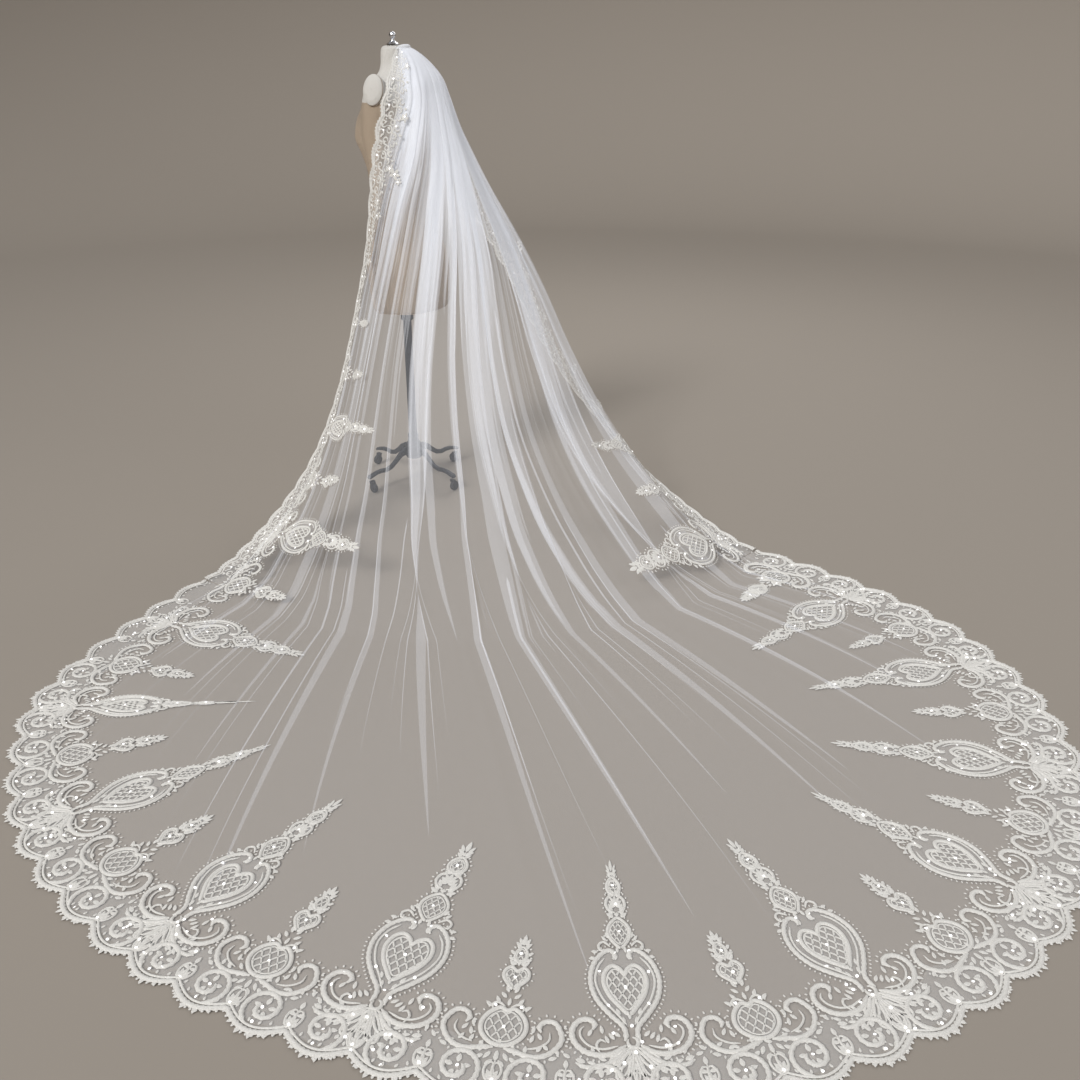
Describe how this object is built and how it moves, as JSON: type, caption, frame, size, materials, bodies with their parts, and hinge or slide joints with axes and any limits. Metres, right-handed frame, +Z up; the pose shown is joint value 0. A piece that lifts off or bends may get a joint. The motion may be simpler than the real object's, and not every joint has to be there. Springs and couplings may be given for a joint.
{
  "type": "bridal veil on a dress form",
  "caption": "Cathedral bridal veil of fine tulle with scalloped lace edge, gathered at the neck of a limbless dress form and spread out as a fan-shaped train.",
  "frame": {"origin": "centre of the bounding box's underside, on the floor", "axes": "+Z up; +Y from the train's hem towards the dress form; +X to the right when the train comes towards the viewer"},
  "size_m": [2.7302, 3.0616, 1.6412],
  "materials": {
    "tulle": "sheer soft tulle",
    "lace": "corded lace with clear sequins",
    "ribbon": "satin",
    "comb_metal": "bright",
    "linen": "matte woven cover",
    "cream_cover": "matte",
    "chrome": "polished",
    "dark_iron": "satin black paint",
    "caster_rubber": "matte"
  },
  "bodies": {
    "root": {"veil_tulle": "tulle", "lace_front_left": "lace", "lace_front_right": "lace", "lace_train": "lace", "gather_ribbon": "ribbon", "veil_comb": "comb_metal", "form_torso": "linen", "form_arm_plate_left": "cream_cover", "form_arm_plate_right": "cream_cover", "form_neck_cap": "chrome", "form_finial": "chrome", "form_mount_plate": "dark_iron", "stand_collar": "dark_iron", "stand_pole": "dark_iron", "stand_hub": "dark_iron", "stand_leg_1": "dark_iron", "stand_leg_2": "dark_iron", "stand_leg_3": "dark_iron", "stand_leg_4": "dark_iron"},
    "swivel_1": {"caster_yoke_1": "dark_iron"},
    "wheel_1": {"caster_wheel_1": "caster_rubber"},
    "swivel_2": {"caster_yoke_2": "dark_iron"},
    "wheel_2": {"caster_wheel_2": "caster_rubber"},
    "swivel_3": {"caster_yoke_3": "dark_iron"},
    "wheel_3": {"caster_wheel_3": "caster_rubber"},
    "swivel_4": {"caster_yoke_4": "dark_iron"},
    "wheel_4": {"caster_wheel_4": "caster_rubber"}
  },
  "joints": [
    {"name": "caster_swivel_1", "type": "hinge", "parent": "root", "child": "swivel_1", "pos_m": [-0.6544, 1.18186, 0.045], "axis": [0, 0, 1], "continuous": true},
    {"name": "wheel_spin_1", "type": "hinge", "parent": "swivel_1", "child": "wheel_1", "pos_m": [-0.64636, 1.17436, 0.019], "axis": [-0.682, -0.7314, 0], "continuous": true},
    {"name": "caster_swivel_2", "type": "hinge", "parent": "root", "child": "swivel_2", "pos_m": [-0.34064, 1.19282, 0.045], "axis": [0, 0, 1], "continuous": true},
    {"name": "wheel_spin_2", "type": "hinge", "parent": "swivel_2", "child": "wheel_2", "pos_m": [-0.33314, 1.20086, 0.019], "axis": [0.7314, -0.682, 0], "continuous": true},
    {"name": "caster_swivel_3", "type": "hinge", "parent": "root", "child": "swivel_3", "pos_m": [-0.3516, 1.50658, 0.045], "axis": [0, 0, 1], "continuous": true},
    {"name": "wheel_spin_3", "type": "hinge", "parent": "swivel_3", "child": "wheel_3", "pos_m": [-0.35964, 1.51408, 0.019], "axis": [0.682, 0.7314, 0], "continuous": true},
    {"name": "caster_swivel_4", "type": "hinge", "parent": "root", "child": "swivel_4", "pos_m": [-0.66536, 1.49562, 0.045], "axis": [0, 0, 1], "continuous": true},
    {"name": "wheel_spin_4", "type": "hinge", "parent": "swivel_4", "child": "wheel_4", "pos_m": [-0.67286, 1.48758, 0.019], "axis": [-0.7314, 0.682, 0], "continuous": true}
  ]
}
